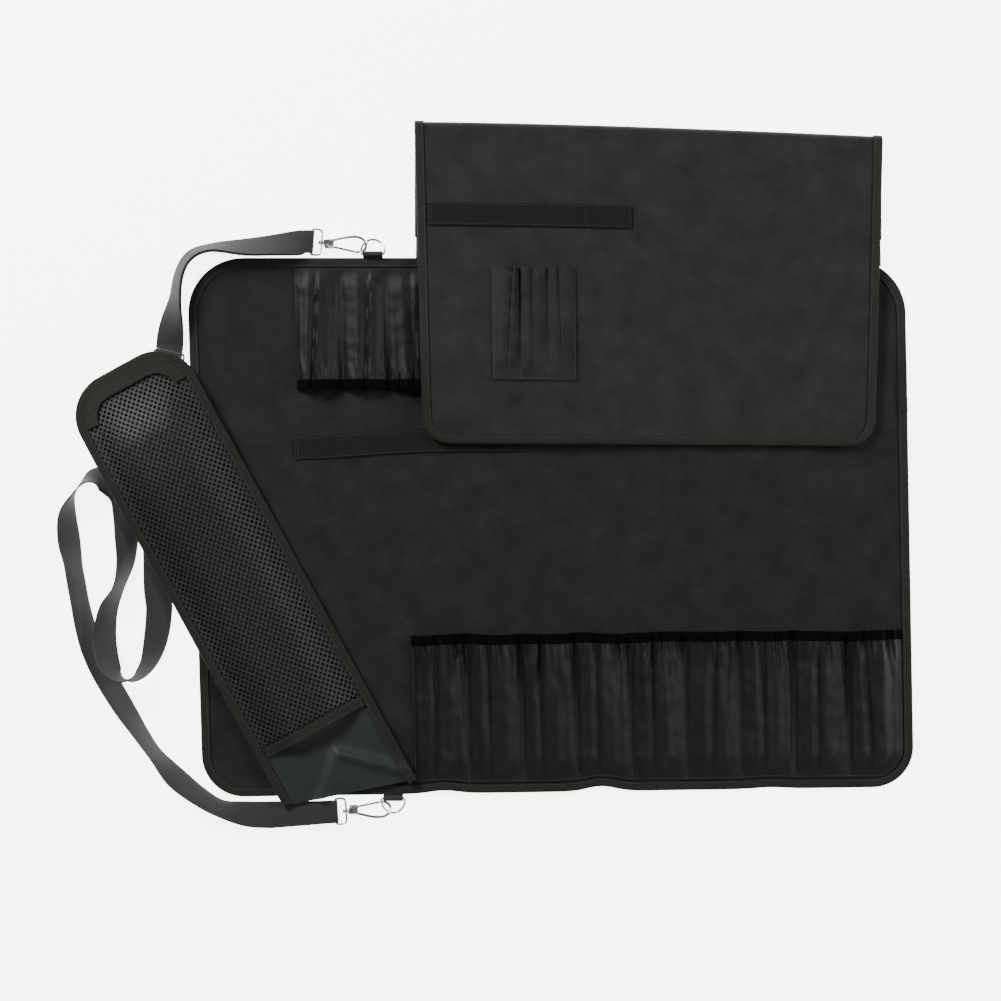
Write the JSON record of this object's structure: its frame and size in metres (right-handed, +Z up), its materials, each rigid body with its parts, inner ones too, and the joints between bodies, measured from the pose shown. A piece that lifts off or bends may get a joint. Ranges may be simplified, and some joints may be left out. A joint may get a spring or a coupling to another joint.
{
  "type": "chef knife roll",
  "caption": "Chef's knife roll lying open: bound cloth panel with gathered pockets, folded-back flap, mesh pouch and webbing shoulder strap on swivel snap hooks.",
  "frame": {"origin": "middle of the main panel, on its flat underside", "axes": "+X along the panel's width to its right side, +Y towards the flap's fold, +Z up from the surface"},
  "size_m": [0.8527, 0.7061, 0.0381],
  "materials": {
    "panel": "dull plain-woven cloth",
    "binding": "ribbed tape",
    "pocket": "light smooth cloth",
    "elastic": "dull elastic",
    "flap": "dull plain-woven cloth",
    "band": "ribbed elastic",
    "net": "fine mesh",
    "lining": "slightly shiny lining cloth",
    "webbing": "woven webbing",
    "nickel": "polished nickel"
  },
  "bodies": {
    "roll": {"base_panel": "panel", "panel_binding": "binding", "binding_overlap": "binding", "pocket_strip": "pocket", "pocket_elastic": "elastic", "small_pocket_strip": "pocket", "small_pocket_elastic": "elastic", "blade_band": "band", "flap": "flap", "flap_binding": "binding", "cutlery_band": "band", "cutlery_pocket": "flap", "pouch_back": "lining", "pouch_net": "net", "pouch_binding": "binding", "pouch_mouth_binding": "binding", "pouch_end_band": "binding", "shoulder_strap": "webbing", "strap_slider": "nickel", "top_strap_eye": "nickel", "top_d_ring": "nickel", "top_ring_tab": "webbing", "bottom_strap_eye": "nickel", "bottom_d_ring": "nickel", "bottom_ring_tab": "webbing"},
    "top_hook": {"top_hook": "nickel"},
    "top_gate": {"top_gate": "nickel"},
    "bottom_hook": {"bottom_hook": "nickel"},
    "bottom_gate": {"bottom_gate": "nickel"}
  },
  "joints": [
    {"name": "top_hook_swivel", "type": "hinge", "parent": "roll", "child": "top_hook", "pos_m": [-0.22979, 0.2845, 0.0044], "axis": [0.9973, -0.0732, 0], "range_deg": [0, 20]},
    {"name": "top_gate_hinge", "type": "hinge", "parent": "top_hook", "child": "top_gate", "pos_m": [-0.22005, 0.28062, 0.00313], "axis": [-0.0274, -0.3736, 0.9272], "range_deg": [0, 20]},
    {"name": "bottom_hook_swivel", "type": "hinge", "parent": "roll", "child": "bottom_hook", "pos_m": [-0.20555, -0.28288, 0.0044], "axis": [-0.998, -0.0628, 0], "range_deg": [0, 20]},
    {"name": "bottom_gate_hinge", "type": "hinge", "parent": "bottom_hook", "child": "bottom_gate", "pos_m": [-0.19577, -0.27911, 0.00313], "axis": [0.0235, -0.3739, -0.9272], "range_deg": [0, 20]}
  ]
}
